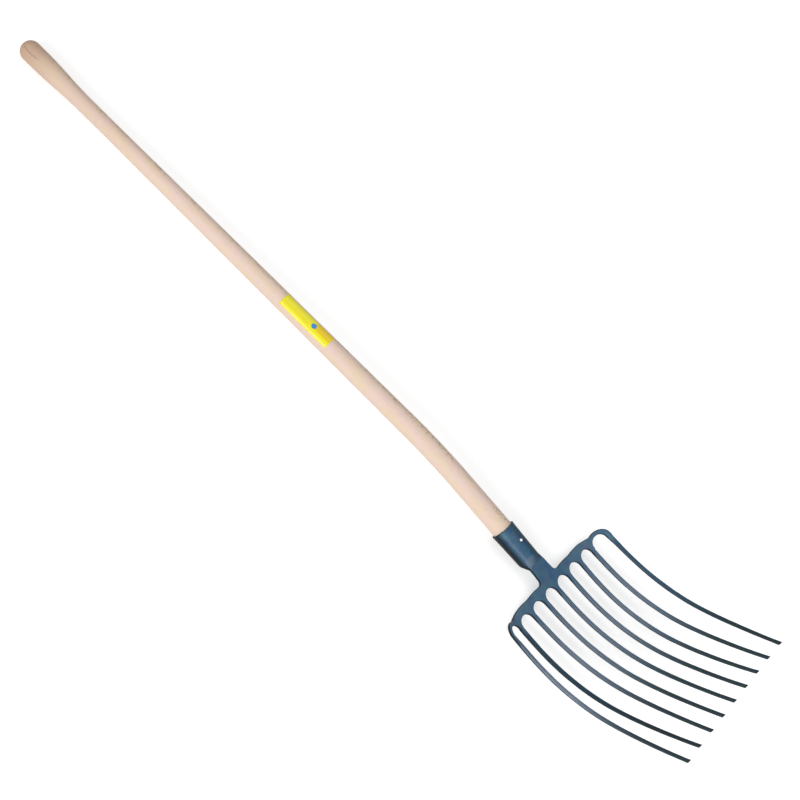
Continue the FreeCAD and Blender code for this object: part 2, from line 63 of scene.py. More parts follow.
class Wire:
    """One output of a node, on which Python's operators add Math nodes to the material."""

    def __init__(self, tree, socket=None):
        self.tree = tree
        self.socket = socket

    def node(self, kind, settings, values, output=0):
        """Add a node: its settings first, then a value or a link for each input."""
        made = self.tree.nodes.new("ShaderNode" + kind)
        for name, setting in settings.items():
            setattr(made, name, setting)
        for name, value in values.items():
            if isinstance(value, Wire):
                self.tree.links.new(value.socket, made.inputs[name])
            else:
                made.inputs[name].default_value = value
        return Wire(self.tree, made.outputs[output])

    def maths(self, operation, *values):
        """Add a Math node that works on these numbers and wires."""
        return self.node("Math", {"operation": operation}, dict(enumerate(values)))

    def __add__(self, other):
        return self.maths("ADD", self, other)

    def __sub__(self, other):
        return self.maths("SUBTRACT", self, other)

    def __rsub__(self, other):
        return self.maths("SUBTRACT", other, self)

    def __mul__(self, other):
        return self.maths("MULTIPLY", self, other)

    def __truediv__(self, other):
        return self.maths("DIVIDE", self, other)

    def __rtruediv__(self, other):
        return self.maths("DIVIDE", other, self)

    def __abs__(self):
        return self.maths("ABSOLUTE", self)

    __radd__ = __add__
    __rmul__ = __mul__

    def rise(self, low, high):
        """0 below low and 1 above high, with a smooth step between them."""
        settings = {"interpolation_type": "SMOOTHSTEP"}
        return self.node("MapRange", settings, {"Value": self, 1: low, 2: high})

    def between(self, first, second):
        """The colour that is first where this value is 0 and second where it is 1."""
        colours = [c if isinstance(c, Wire) else (*c, 1.0) for c in (first, second)]
        values = {0: self, 6: colours[0], 7: colours[1]}
        return self.node("Mix", {"data_type": "RGBA"}, values, output=2)

    def mottle(self, scale, detail=2.0):
        """Soft random patches over these places, about as many to the metre as scale."""
        values = {"Vector": self, "Scale": scale, "Detail": detail}
        return self.node("TexNoise", {}, values)

    def bump(self, strength, depth):
        """The surface's direction where this value is its height."""
        values = {"Strength": strength, "Distance": depth, "Height": self}
        return self.node("Bump", {}, values)


def new_material(name):
    """A material with its Principled shader, and a Wire that adds nodes to it."""
    made = bpy.data.materials.new(name)
    made.use_nodes = True
    return made, made.node_tree.nodes["Principled BSDF"], Wire(made.node_tree)


def feed(shader, **wires):
    """Link values that change over a surface to the shader's inputs."""
    for name, wire in wires.items():
        wire.tree.links.new(wire.socket, shader.inputs[name.replace("_", " ")])


def set_evenly(shader, **values):
    """Set values that are the same all over a surface on the shader's own sockets."""
    for name, value in values.items():
        shader.inputs[name.replace("_", " ")].default_value = value


def seen_directly(wire):
    """1 for what the camera sees itself, in a reflection or through glass, 0 for light."""
    seen = wire.node("LightPath", {}, {}, output="Is Camera Ray")
    for ray in ("Is Glossy Ray", "Is Transmission Ray"):
        seen = wire.maths("MAXIMUM", seen, wire.node("LightPath", {}, {}, output=ray))
    return seen


def new_piece(name, points, faces, material):
    mesh = bpy.data.meshes.new(name)
    mesh.from_pydata(points, [], faces)
    mesh.update()
    mesh.shade_smooth()
    mesh.materials.append(material)
    piece = bpy.data.objects.new(name, mesh)
    bpy.context.scene.collection.objects.link(piece)
    return piece


sheet_white, shader, wire = new_material("floor_sheet")
feed(shader, Emission_Color=seen_directly(wire).between(NO_LIGHT, FLOOR_LIFT))
set_evenly(shader, Base_Color=(FLOOR_WHITE, FLOOR_WHITE, FLOOR_WHITE, 1.0), Roughness=0.9)
set_evenly(shader, Specular_IOR_Level=0.0, Emission_Strength=1.0)
corners = [
    (x * FLOOR_HALF, y * FLOOR_HALF, -FLOOR_DROP)
    for x, y in ((-1, -1), (1, -1), (1, 1), (-1, 1))
]
floor = new_piece("floor", corners, [(0, 1, 2, 3)], sheet_white)

# The head: one steel forging, with its nine tines drawn out of the crossbar and its socket
# rolled round and swaged flat into the neck. It is dipped in a thin dark slate varnish. Its
# colour carries painted shade along the edges and towards the tips, and painted highlights.
TINES = 9
HEAD_NODES = ["socket", "head_plate"] + [f"tine_{number}" for number in range(1, TINES + 1)]

# How it lies: in its own frame X runs across the tines, Y along them from their roots and
# Z up out of the scoop. It is tipped back, with the roots a little above the ground.
PITCH = math.radians(-6.196)
ROOTS_ALONG = 0.50020
ROOTS_UP = 0.02039

# Its shape: where its parts begin and end, and how steeply the tines and flanks rise.
NECK_BACK = -0.0555
SWAGE = (-0.078, -0.062)
NECK_TURN = (NECK_BACK + 0.003, NECK_BACK - 0.007)
PLATE_FRONT = (0.004, -0.002)
PLATE_END = 0.12
FLANK_FOLD = 0.112
FLANK_ACROSS = (0.108, 0.118)
FLANK_LEAN = math.radians(30)
TINE_SPACING = 0.0365
TINE_ROOT = (0.0, 0.02)
TINE_TURNS_AT = (0.005, 0.068, 0.211, 0.310)
TINE_SLOPES = (0, 7.9, 41.8, 52)
TIP_AT = 0.3101
TIP_SLOPE = math.radians(52)

# Its forging: how far the parts are let into each other, how its edges are filed round,
# how its tips are cut back from beneath, and the hammer's dents.
ROOT_SINK = 0.002
JOIN_REACH = 0.0003
SKIN_GRAIN = 0.0008
FILING = 0.5
FILING_ROUNDS = 3
TIP_FILING = 0.15
TIP_KEPT = 0.004
PLATE_ROUNDS = 8
LOOP_ACROSS = (0.120, 0.128)
LOOP_TOP = (0.0012, 0.0022)
LOOP_ALONG = (0.010, 0.002)
LOOP_FILING = 0.6
LOOP_ROUNDS = 30
TIP_BEVEL = 0.0046
TIP_BEVEL_REACH = 0.018
TIP_END = 0.003
DENTS_PER_METRE = 90.0
DENT_DEPTH = 0.00012
SKIN_ALLOWANCE = 0.00005


def lying(across, along, up):
    """A place given in the head's own frame, as it lies on the ground."""
    return (
        across,
        ROOTS_ALONG + math.cos(PITCH) * along - math.sin(PITCH) * up,
        ROOTS_UP + math.sin(PITCH) * along + math.cos(PITCH) * up,
    )


def head_frame(points):
    """Places on the ground, turned back into the head's own frame."""
    moved = points - np.array([0.0, ROOTS_ALONG, ROOTS_UP])
    along = math.cos(PITCH) * moved[:, 1] + math.sin(PITCH) * moved[:, 2]
    up = -math.sin(PITCH) * moved[:, 1] + math.cos(PITCH) * moved[:, 2]
    return np.stack([moved[:, 0], along, up], axis=1)


def read_vectors(mesh, name):
    """The place or the normal of every point of a mesh."""
    values = np.empty(len(mesh.vertices) * 3)
    mesh.vertices.foreach_get(name, values)
    return values.reshape(-1, 3)


def write_points(mesh, points):
    mesh.vertices.foreach_set("co", points.astype(np.float32).ravel())
    mesh.update()


def add_attribute(mesh, name, kind, values):
    """Keep a number or a vector at every point of a mesh, for its material to read."""
    field = mesh.attributes.new(name, kind, "POINT")
    key = "vector" if kind == "FLOAT_VECTOR" else "value"
    field.data.foreach_set(key, values.astype(np.float32).ravel())


def fade(values, start, stop):
    """0 at start and 1 at stop, in a straight line between them. Either may be larger."""
    return np.clip((values - start) / (stop - start), 0, 1)


def hump(values, centre, width):
    """1 at the centre, falling away smoothly to both sides."""
    return np.exp(-(((values - centre) / width) ** 2))


def forge_head():
    """The head's solids, let into each other and closed into one skin."""
    parts = []
    for name in HEAD_NODES:
        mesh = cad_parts[name].data.copy()
        points = head_frame(read_vectors(mesh, "co"))
        if name.startswith("tine"):
            points[points[:, 1] < JOIN_REACH, 1] -= ROOT_SINK
        if name == "head_plate":
            points[points[:, 1] < NECK_BACK + JOIN_REACH, 1] -= ROOT_SINK
        write_points(mesh, points)
        parts.append(mesh)
    points = np.concatenate([read_vectors(mesh, "co") for mesh in parts])
    faces = []
    start = 0
    for mesh in parts:
        faces += [tuple(start + i for i in face.vertices) for face in mesh.polygons]
        start += len(mesh.vertices)
    raw = bpy.data.meshes.new("raw_head")
    raw.from_pydata(points.tolist(), [], faces)
    block = bpy.data.objects.new("raw_head", raw)
    bpy.context.scene.collection.objects.link(block)
    skin = block.modifiers.new("skin", "REMESH")
    skin.mode = "VOXEL"
    skin.voxel_size = SKIN_GRAIN
    graph = bpy.context.evaluated_depsgraph_get()
    forged = bpy.data.meshes.new_from_object(block.evaluated_get(graph))
    bpy.data.objects.remove(block)
    for mesh in [raw, *parts]:
        bpy.data.meshes.remove(mesh)
    return forged


def file_down(points, edges, share, rounds):
    """Draw every point towards the middle of its neighbours, as a file does to an edge."""
    count = np.bincount(edges.ravel(), minlength=len(points))[:, None]
    for _ in range(rounds):
        near = np.empty_like(points)
        for axis in range(3):
            value = points[:, axis]
            near[:, axis] = np.bincount(edges[:, 0], value[edges[:, 1]], len(points))
            near[:, axis] += np.bincount(edges[:, 1], value[edges[:, 0]], len(points))
        points = points + share[:, None] * (near / count - points)
    return points


def cut_tips(points, tine):
    """Cut every tine's end back from beneath. Its upper edge stays where it is."""
    forward = np.array([0.0, math.cos(TIP_SLOPE), math.sin(TIP_SLOPE)])
    upward = np.array([0.0, -math.sin(TIP_SLOPE), math.cos(TIP_SLOPE)])
    for number in range(TINES):
        own = tine == number
        reach = points[own] @ forward
        back = reach.max() - reach
        height = points[own] @ upward
        at_end = height[back < TIP_END]
        low_down = fade(height, at_end.max(), at_end.min())
        cut = TIP_BEVEL * low_down * fade(back, TIP_BEVEL_REACH, 0.0)
        points[own] -= cut[:, None] * forward


forged = forge_head()
edges = np.empty(len(forged.edges) * 2, np.int32)
forged.edges.foreach_get("vertices", edges)
edges = edges.reshape(-1, 2)
points = read_vectors(forged, "co")
filing = np.where(points[:, 1] > TIP_AT - TIP_KEPT, TIP_FILING, FILING)
points = file_down(points, edges, filing, FILING_ROUNDS)
on_plate = fade(points[:, 1], *PLATE_FRONT)
points = file_down(points, edges, on_plate * FILING, PLATE_ROUNDS)
above_flank = points[:, 2] - (np.abs(points[:, 0]) - FLANK_FOLD) * math.tan(FLANK_LEAN)
on_loop = fade(np.abs(points[:, 0]), *LOOP_ACROSS)
on_loop *= fade(above_flank, *LOOP_TOP) * fade(points[:, 1], *LOOP_ALONG)
points = file_down(points, edges, on_loop * LOOP_FILING, LOOP_ROUNDS)
tine = np.rint(points[:, 0] / TINE_SPACING).astype(int) + TINES // 2
tine = np.clip(tine, 0, TINES - 1)
cut_tips(points, tine)
write_points(forged, points)
normals = read_vectors(forged, "normal")
dents = np.array([noise.noise(Vector(point) * DENTS_PER_METRE) for point in points])
points = points + normals * (dents * DENT_DEPTH - SKIN_ALLOWANCE)[:, None]
lying_points = np.stack(lying(*points.T), axis=1)
write_points(forged, np.clip(lying_points, *np.array(cad_box)))
forged.shade_smooth()

# Painted light and shade on the tines: their upper and near faces are painted lighter,
# their edges and far faces darker as shade, and their bellies carry a painted highlight.
# Each tine's own darkening and highlight strength are listed from the far side to the near.
# The lit share is 1 where a face is painted lit and 0 in painted shade, and the highlight
# share is 1 where the painted highlight is strongest.
TINE_DARKENING = (0.20, 0.0, 0.0, 0.0, 0.0, 0.0, 0.0, 0.29, 0.0)
TINE_HIGHLIGHT = (0.1, 0.8, 0.8, 0.75, 0.7, 0.85, 1.0, 0.0, 1.25)
NEAR_SIDE_LIGHT = 0.6
FAR_SIDE_LIGHT = 0.9
UPPER_LIGHT = 0.6
UNDERSIDE_LIGHT = 0.8
HALF_TINE = 0.003
SLICE = 0.001
SLICES = 400
BELLY_AT = 0.38
BELLY_WIDTH = 0.34
PLATE_HIGHLIGHT = 0.3

# Painted light and shade on the socket: a painted highlight along the crown and on the
# swage, lighter upwards and on the near side, and painted shade low down on both sides.
CROWN_AT = 0.50
CROWN_WIDTH = 0.50
CROWN_RISE = (0.1, 0.4)
CROWN_HIGHLIGHT = 0.20
SWAGE_HIGHLIGHT = 0.9
SHADE_LOW_DOWN = (0.60, -0.05)
ROUND_LIGHT = 0.44
ROUND_UPWARD_LIGHT = 0.35
ROUND_NEAR_LIGHT = 0.3
SHADE_LOW_DOWN_SHARE = 0.5

x, y, z = points.T
near_way, front_way, up_way = normals.T
along = fade(y, 0.0, TIP_AT)
slope = np.radians(np.interp(y, TINE_TURNS_AT, TINE_SLOPES))
roll = FLANK_LEAN * fade(np.abs(x), *FLANK_ACROSS) * (1 - along) ** 2
facing = up_way * np.cos(slope) - front_way * np.sin(slope)
facing = facing * np.cos(roll) - near_way * np.sign(x) * np.sin(roll)
on_tine = fade(y, *TINE_ROOT)

# How far each point is above or below the middle of its own tine, slice by slice.
slices = np.clip((y / SLICE).astype(int), 0, SLICES) * TINES + tine
middle = np.bincount(slices, z) / np.maximum(np.bincount(slices), 1)
above = (z - middle[slices]) * np.cos(slope) / HALF_TINE

# Painted light: lighter on faces turned up or to the near side and above each tine's
# middle, darker as shade on faces turned to the far side; undersides are painted lit too.
side_light = np.where(near_way > 0, NEAR_SIDE_LIGHT, FAR_SIDE_LIGHT)
light_by_facing = np.clip(facing + side_light * near_way + UPPER_LIGHT * above, 0, 1)
light_by_facing = np.maximum(light_by_facing, -UNDERSIDE_LIGHT * facing)
# On the plate, faces turned sideways are painted darker as shade.
lit_share = np.abs(facing)
lit_share += on_tine * (light_by_facing - lit_share)
lit_share *= 1 - on_tine * np.array(TINE_DARKENING)[tine]
# A painted highlight on each tine's belly, on its lit faces, and on the plate towards its
# ends.
belly = hump(along, BELLY_AT, BELLY_WIDTH) * on_tine * np.array(TINE_HIGHLIGHT)[tine]
painted_highlight = belly * light_by_facing
painted_highlight += (1 - on_tine) * PLATE_HIGHLIGHT * fade(np.abs(x), 0.0, PLATE_END)
on_socket = fade(y, *NECK_TURN)
# A painted highlight along the socket's crown, stronger on the swage.
crown = hump(near_way, CROWN_AT, CROWN_WIDTH) * fade(up_way, *CROWN_RISE)
crown_highlight_strength = crown * (CROWN_HIGHLIGHT + SWAGE_HIGHLIGHT * fade(y, *SWAGE))
painted_highlight += on_socket * (crown_highlight_strength - painted_highlight)
# Painted light on the socket: lighter upwards and to the near side, painted shade low down.
round_side_light = ROUND_LIGHT + ROUND_UPWARD_LIGHT * up_way + ROUND_NEAR_LIGHT * near_way
round_side_light -= SHADE_LOW_DOWN_SHARE * fade(up_way, *SHADE_LOW_DOWN)
lit_share += on_socket * (np.clip(round_side_light, 0, 1) - lit_share)
add_attribute(forged, "lit_share", "FLOAT", lit_share)
add_attribute(forged, "along", "FLOAT", along)
add_attribute(forged, "painted_highlight", "FLOAT", painted_highlight)
add_attribute(forged, "forging", "FLOAT_VECTOR", points)

# Its finish: clouded blue and slate varnish, paler where a highlight is painted on, almost
# black where shade is painted along the edges and darker towards the tips as painted shade,
# with a fine orange-peel surface and some gloss on the flat plate.
VARNISH_BLUE = (0.008, 0.068, 0.168)
VARNISH_TEAL = (0.020, 0.115, 0.180)
VARNISH_MAUVE = (0.048, 0.078, 0.170)
VARNISH_SLATE = (0.040, 0.078, 0.108)
VARNISH_HIGHLIGHT = (0.235, 0.280, 0.360)
VARNISH_SHADE_AND_SPECKS = (0.004, 0.010, 0.014)
VARNISH_TIP_SHADE = (0.019, 0.037, 0.042)
CLOUDS_PER_METRE = 55.0
OTHER_CLOUDS_PER_METRE = 95.0
SPECKS_PER_METRE = 600.0
PEEL_PER_METRE = 260.0
TEAL_CLOUDS = (0.36, 0.64)
MAUVE_CLOUDS = (0.48, 0.66)
MAUVE_SHARE = 0.6
SLATE_ALONG = (0.0, 0.12)
SLATE_SHARE = 0.6
HIGHLIGHT_SHARE = 0.35
HIGHLIGHT_CLOUD_SHARE = 0.5
SPECKS = (0.42, 0.75)
SPECK_SHARE = 0.4
TIP_SHADE_ALONG = (0.42, 0.85)
TIP_SHADE_SHARE = 0.9
EDGE_SHADE_RANGE = (0.40, 0.95)
GLOSS_BROAD = (0.7, 1.0)
GLOSS_ALONG = (0.3, 0.8)
GLOSS_SHARE = 0.28
VARNISH_ROUGH = 0.36
CLOUD_ROUGH = 0.12
SPECK_ROUGH = 0.10

varnish, shader, wire = new_material("head_varnish")
place = wire.node("Attribute", {"attribute_name": "forging"}, {}, output="Vector")
# The share of painted light at each point, 1 lit and 0 in painted shade.
flat = wire.node("Attribute", {"attribute_name": "lit_share"}, {}, output="Fac")
reach = wire.node("Attribute", {"attribute_name": "along"}, {}, output="Fac")
highlight_share = wire.node("Attribute", {"attribute_name": "painted_highlight"}, {}, output="Fac")
cloud = place.mottle(CLOUDS_PER_METRE, detail=4.0)
other_cloud = place.mottle(OTHER_CLOUDS_PER_METRE, detail=4.0)
fine = place.mottle(SPECKS_PER_METRE, detail=3.0)
peel = place.mottle(PEEL_PER_METRE, detail=5.0)
colour = cloud.rise(*TEAL_CLOUDS).between(VARNISH_BLUE, VARNISH_TEAL)
colour = (other_cloud.rise(*MAUVE_CLOUDS) * MAUVE_SHARE).between(colour, VARNISH_MAUVE)
colour = (reach.rise(*SLATE_ALONG) * SLATE_SHARE).between(colour, VARNISH_SLATE)
# Painted highlight: paler where the highlight share is high.
highlight_mix = highlight_share * (HIGHLIGHT_SHARE + other_cloud * HIGHLIGHT_CLOUD_SHARE)
colour = highlight_mix.between(colour, VARNISH_HIGHLIGHT)
colour = (fine.rise(*SPECKS) * SPECK_SHARE).between(colour, VARNISH_SHADE_AND_SPECKS)
# Painted shade darkening the varnish towards the tips.
colour = (reach.rise(*TIP_SHADE_ALONG) * TIP_SHADE_SHARE).between(colour, VARNISH_TIP_SHADE)
# Painted shade, almost black, where the share of painted light is low.
colour = (1 - flat.rise(*EDGE_SHADE_RANGE)).between(colour, VARNISH_SHADE_AND_SPECKS)
feed(
    shader,
    Base_Color=colour,
    Roughness=VARNISH_ROUGH + cloud * CLOUD_ROUGH + fine * SPECK_ROUGH,
    Normal=peel.bump(strength=0.6, depth=0.0005),
    Coat_Weight=flat.rise(*GLOSS_BROAD) * (1 - reach.rise(*GLOSS_ALONG)) * GLOSS_SHARE,
)
set_evenly(shader, Specular_IOR_Level=0.15, Coat_Roughness=0.3)
forged.materials.clear()
forged.materials.append(varnish)
head = bpy.data.objects.new("forged_head", forged)
bpy.context.scene.collection.objects.link(head)
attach(head, "root")
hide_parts(*HEAD_NODES)

# The handle: one length of pale beech, turned with a round knob and a slim grip, steamed
# to a shallow bend and driven into the socket. It is sanded and left bare.
KNOB_RADIUS = 0.0191
KNOB_LENGTH = 0.036
SWELL_LENGTH = 0.125
GRIP_RADIUS = 0.0147
GRIP_LENGTH = 0.039
SHAFT_RADIUS = 0.0187
SHAFT_LENGTH = 0.108
TENON_LENGTH = 0.0585
TENON_NARROWING = 0.0286
MOUTH_AT = -0.140
SOCKET_DROP = 0.0089
BEND_START = 0.953
BEND_RADIUS = 0.965
BEND_ANGLE = math.radians(7.7)
BEND_STOP = BEND_START + BEND_RADIUS * BEND_ANGLE
BEND_FRONT = MOUTH_AT - SHAFT_LENGTH
GRIP_STOP = KNOB_LENGTH + SWELL_LENGTH + GRIP_LENGTH
MOUTH = BEND_STOP + SHAFT_LENGTH
HANDLE_LENGTH = MOUTH + TENON_LENGTH

# Its rings of points, close together round the knob and the grip, and wider apart beyond.
FACETS = 96
KNOB_RINGS = 18
KNOB_GAP = 0.002
FINE_GAP = 0.003
FINE_STOP = 0.2
WIDE_GAP = 0.008


def handle_axis(distance):
    """Where the handle's axis is at this distance from the knob's end, and its slope."""
    angle = BEND_ANGLE * min(max((BEND_STOP - distance) / (BEND_STOP - BEND_START), 0), 1)
    along = BEND_FRONT - BEND_RADIUS * math.sin(angle) + max(distance - BEND_STOP, 0)
    up = -SOCKET_DROP - BEND_RADIUS * (1 - math.cos(angle))
    back = max(BEND_START - distance, 0)
    return along - back * math.cos(angle), up - back * math.sin(angle), angle


def handle_radius(distance):
    """The handle's radius at this distance from the knob's end."""
    swell = (distance - KNOB_LENGTH) / SWELL_LENGTH
    if distance < KNOB_RADIUS:
        return math.sqrt(max(KNOB_RADIUS ** 2 - (KNOB_RADIUS - distance) ** 2, 0))
    if swell <= 0:
        return KNOB_RADIUS
    if swell < 1:
        fall = 2 * swell ** 2 if swell < 0.5 else 1 - 2 * (1 - swell) ** 2
        return KNOB_RADIUS + (GRIP_RADIUS - KNOB_RADIUS) * fall
    if distance < GRIP_STOP:
        return GRIP_RADIUS
    if distance < BEND_START:
        share = (distance - GRIP_STOP) / (BEND_START - GRIP_STOP)
        return GRIP_RADIUS + (SHAFT_RADIUS - GRIP_RADIUS) * share
    return SHAFT_RADIUS - TENON_NARROWING * max(distance - MOUTH, 0)


def round_the_handle(distance, angle, radius):
    """A place round the handle, where angle turns from +X up to the scoop side."""
    along, up, slope = handle_axis(distance)
    side, rise = radius * math.cos(angle), radius * math.sin(angle)
    return lying(side, along - rise * math.sin(slope), up + rise * math.cos(slope))


turns = [math.pi / 2 * ring / KNOB_RINGS for ring in range(1, KNOB_RINGS + 1)]
stations = [KNOB_RADIUS * (1 - math.cos(turn)) for turn in turns]
stations += list(np.arange(KNOB_RADIUS + KNOB_GAP, FINE_STOP, FINE_GAP))
stations += list(np.arange(FINE_STOP + FINE_GAP, HANDLE_LENGTH, WIDE_GAP))
stations += [HANDLE_LENGTH]
points = []
grain = []
for distance in stations:
    for facet in range(FACETS):
        angle = 2 * math.pi * facet / FACETS
        radius = handle_radius(distance)
        points.append(round_the_handle(distance, angle, radius))
        grain.append((radius * math.cos(angle), distance, radius * math.sin(angle)))
faces = []
last_ring = len(stations) - 1
for ring in range(last_ring):
    for facet in range(FACETS):
        a, b = ring * FACETS + facet, ring * FACETS + (facet + 1) % FACETS
        faces.append((a, a + FACETS, b + FACETS, b))
for distance, ring in ((0.0, 0), (HANDLE_LENGTH, last_ring)):
    end = len(points)
    points.append(round_the_handle(distance, 0.0, 0.0))
    grain.append((0.0, distance, 0.0))
    for facet in range(FACETS):
        pair = (ring * FACETS + facet, ring * FACETS + (facet + 1) % FACETS)
        faces.append((*pair, end) if ring == 0 else (*reversed(pair), end))

# Its wood: pink and beige bands along the grain, growth rings round a pith outside the
# handle, dark ray flecks on one side, and a brown end where hands have held it.
WOOD_PINK = (0.79, 0.61, 0.54)
WOOD_BEIGE = (0.78, 0.62, 0.47)
WOOD_BAND = (0.60, 0.42, 0.32)
WOOD_GREY_SHADE = (0.60, 0.52, 0.47)
WOOD_FLECK = (0.20, 0.12, 0.08)
WOOD_HANDLED = (0.42, 0.26, 0.15)
WOOD_RIM_SHADE = (0.25, 0.21, 0.18)
WOOD_STREAK = (0.20, 0.11, 0.06)
PITH = (0.055, 0.0, -0.035)
ACROSS_ONLY = (1, 0, 1)
DRIFT_STRETCH = (18, 3, 18)
TONE_STRETCH = (60, 20, 60)
FIBRE_STRETCH = (1400, 60, 1400)
FLECK_STRETCH = (240, 260, 240)
RINGS_PER_METRE = 520
RING_DRIFT = 14
BEIGE_TONE = (0.35, 0.65)
RING_EDGE = (0.2, 1.0)
RING_SHARE = 0.18
FIBRE_EDGE = (0.45, 0.8)
FIBRE_SHARE = 0.22
FLECK_AND_SHADE_SIDE = (-0.80, 0.25)
GREY_SHADE_SHARE = 0.25
FLECK_TONE = (0.40, 0.56)
FLECK_EDGE = (0.54, 0.62)
FLECK_SHARE = 0.04
FLECK_PATCH_SHARE = 0.75
WOOD_ROUGH = 0.55
FIBRE_ROUGH = 0.15
FIBRE_HEIGHT = 0.6
FLECK_DEPTH = 0.5
NEAR_AXIS = 0.0001

# Painted shade along the far side's rim, which fades towards the socket, and its handled
# end.
RIM_SIDE = (-0.83, -0.68)
RIM_HEART = (-1.0, -0.80)
RIM_SHARE = 0.36
RIM_HEART_SHARE = 0.15
RIM_FADE_AT = (0.95, 1.15)
RIM_FADE = 0.45
HANDLED_TONE = 0.05
HELD_TO = (0.0, 0.14)
HELD_SHARE = 0.60
TOUCHED_TO = (0.05, 0.42)
TOUCHED_SHARE = 0.22

# A curved dark streak in the knob's wood: which way it faces, how it bows, and its width.
STREAK_FACING = (-0.777, 0.0, 0.629)
STREAK_OFFSET = 0.0023
STREAK_MIDDLE = 0.027
STREAK_HALF = 0.0185
STREAK_BOW = 0.0026
STREAK_WIDTH = (0.0002, 0.0014)
STREAK_START = (0.006, 0.014)
STREAK_STOP = (0.038, 0.048)
STREAK_SHARE = 0.55

wood, shader, wire = new_material("handle_wood")
place = wire.node("Attribute", {"attribute_name": "grain"}, {}, output="Vector")
side = wire.node("Attribute", {"attribute_name": "side"}, {}, output="Fac")
far = wire.node("SeparateXYZ", {}, {"Vector": place}, output="Y")


def vector_maths(operation, *values, output="Vector"):
    """Add a Vector Math node that works on these places and wires."""
    values = dict(enumerate(values))
    return wire.node("VectorMath", {"operation": operation}, values, output)


def stretched(scale, detail=2.0):
    """Random patches whose number to the metre differs across and along the grain."""
    return vector_maths("MULTIPLY", place, scale).mottle(1.0, detail)


drift = stretched(DRIFT_STRETCH)
tone = stretched(TONE_STRETCH)
fibre = stretched(FIBRE_STRETCH, detail=3.0)
flecks = stretched(FLECK_STRETCH)
from_pith = vector_maths("SUBTRACT", place, PITH)
from_pith = vector_maths("MULTIPLY", from_pith, ACROSS_ONLY)
from_pith = vector_maths("LENGTH", from_pith, output="Value")
rings = (from_pith * RINGS_PER_METRE + drift * RING_DRIFT) * math.pi
rings = wire.maths("SINE", rings)
colour = tone.rise(*BEIGE_TONE).between(WOOD_PINK, WOOD_BEIGE)
colour = (rings.rise(*RING_EDGE) * RING_SHARE).between(colour, WOOD_BAND)
colour = (fibre.rise(*FIBRE_EDGE) * FIBRE_SHARE).between(colour, WOOD_BAND)
# The far half is painted greyer as shade, and the dark ray flecks gather on the same side.
fleck_and_shade_side = 1 - side.rise(*FLECK_AND_SHADE_SIDE)
colour = (fleck_and_shade_side * GREY_SHADE_SHARE).between(colour, WOOD_GREY_SHADE)
# Painted shade along the far side's rim, fading towards the socket.
rim_shade = (1 - side.rise(*RIM_SIDE)) * (RIM_SHARE + side.rise(*RIM_HEART) * RIM_HEART_SHARE)
rim_shade = rim_shade * (1 - far.rise(*RIM_FADE_AT) * RIM_FADE)
colour = rim_shade.between(colour, WOOD_RIM_SHADE)
patches = FLECK_SHARE + tone.rise(*FLECK_TONE) * fleck_and_shade_side * FLECK_PATCH_SHARE
colour = (flecks.rise(*FLECK_EDGE) * patches).between(colour, WOOD_FLECK)
worn = far + tone * HANDLED_TONE
handled = (1 - worn.rise(*HELD_TO)) * HELD_SHARE
handled = handled + (1 - worn.rise(*TOUCHED_TO)) * TOUCHED_SHARE
colour = handled.between(colour, WOOD_HANDLED)
bow = (far - STREAK_MIDDLE) / STREAK_HALF
streak = vector_maths("DOT_PRODUCT", place, STREAK_FACING, output="Value")
streak = abs(streak + STREAK_OFFSET - bow * bow * STREAK_BOW)
streak = (1 - streak.rise(*STREAK_WIDTH)) * far.rise(*STREAK_START)
streak = streak * (1 - far.rise(*STREAK_STOP))
colour = (streak * STREAK_SHARE).between(colour, WOOD_STREAK)
grain_height = fibre * FIBRE_HEIGHT - flecks * FLECK_DEPTH
feed(
    shader,
    Base_Color=colour,
    Roughness=WOOD_ROUGH + fibre * FIBRE_ROUGH,
    Normal=grain_height.bump(strength=0.35, depth=0.0003),
)
set_evenly(shader, Specular_IOR_Level=0.2)
handle = new_piece("wooden_handle", points, faces, wood)
grain = np.array(grain)
around = np.maximum(np.hypot(grain[:, 0], grain[:, 2]), NEAR_AXIS)
add_attribute(handle.data, "grain", "FLOAT_VECTOR", grain)
add_attribute(handle.data, "side", "FLOAT", grain[:, 0] / around)
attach(handle, "root")
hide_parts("handle")

# The label: a strip of glossy yellow paper glued round the handle's upper side. It has
# plain fields of two yellows, a thin dark line and a blue spot.
LABEL_START = 0.645
LABEL_LENGTH = 0.1115
LABEL_LOW = math.radians(30)
LABEL_HIGH = math.radians(115)
LABEL_SKIN = 0.0002
LABEL_GLUE = 0.00015
LABEL_ROWS = 58
LABEL_STEPS = 50
LABEL_YELLOW = (0.86, 0.77, 0.02)
LABEL_DEEP = (0.84, 0.60, 0.003)
LABEL_BLUE = (0.03, 0.25, 0.60)
LABEL_LINE = (0.05, 0.05, 0.05)
DEEP_FROM = (0.66, 0.42)
LINE_ALONG = (0.04, 0.56)
LINE_ACROSS = (0.395, 0.405)
INK_BLUR = 0.004
SPOT_AT = (0.645, 0.57)
SPOT_STRETCH = 4.0
SPOT_EDGE = (0.032, 0.038)
LABEL_CREASES = 30.0
LABEL_ROUGH = 0.10
CREASE_ROUGH = 0.10

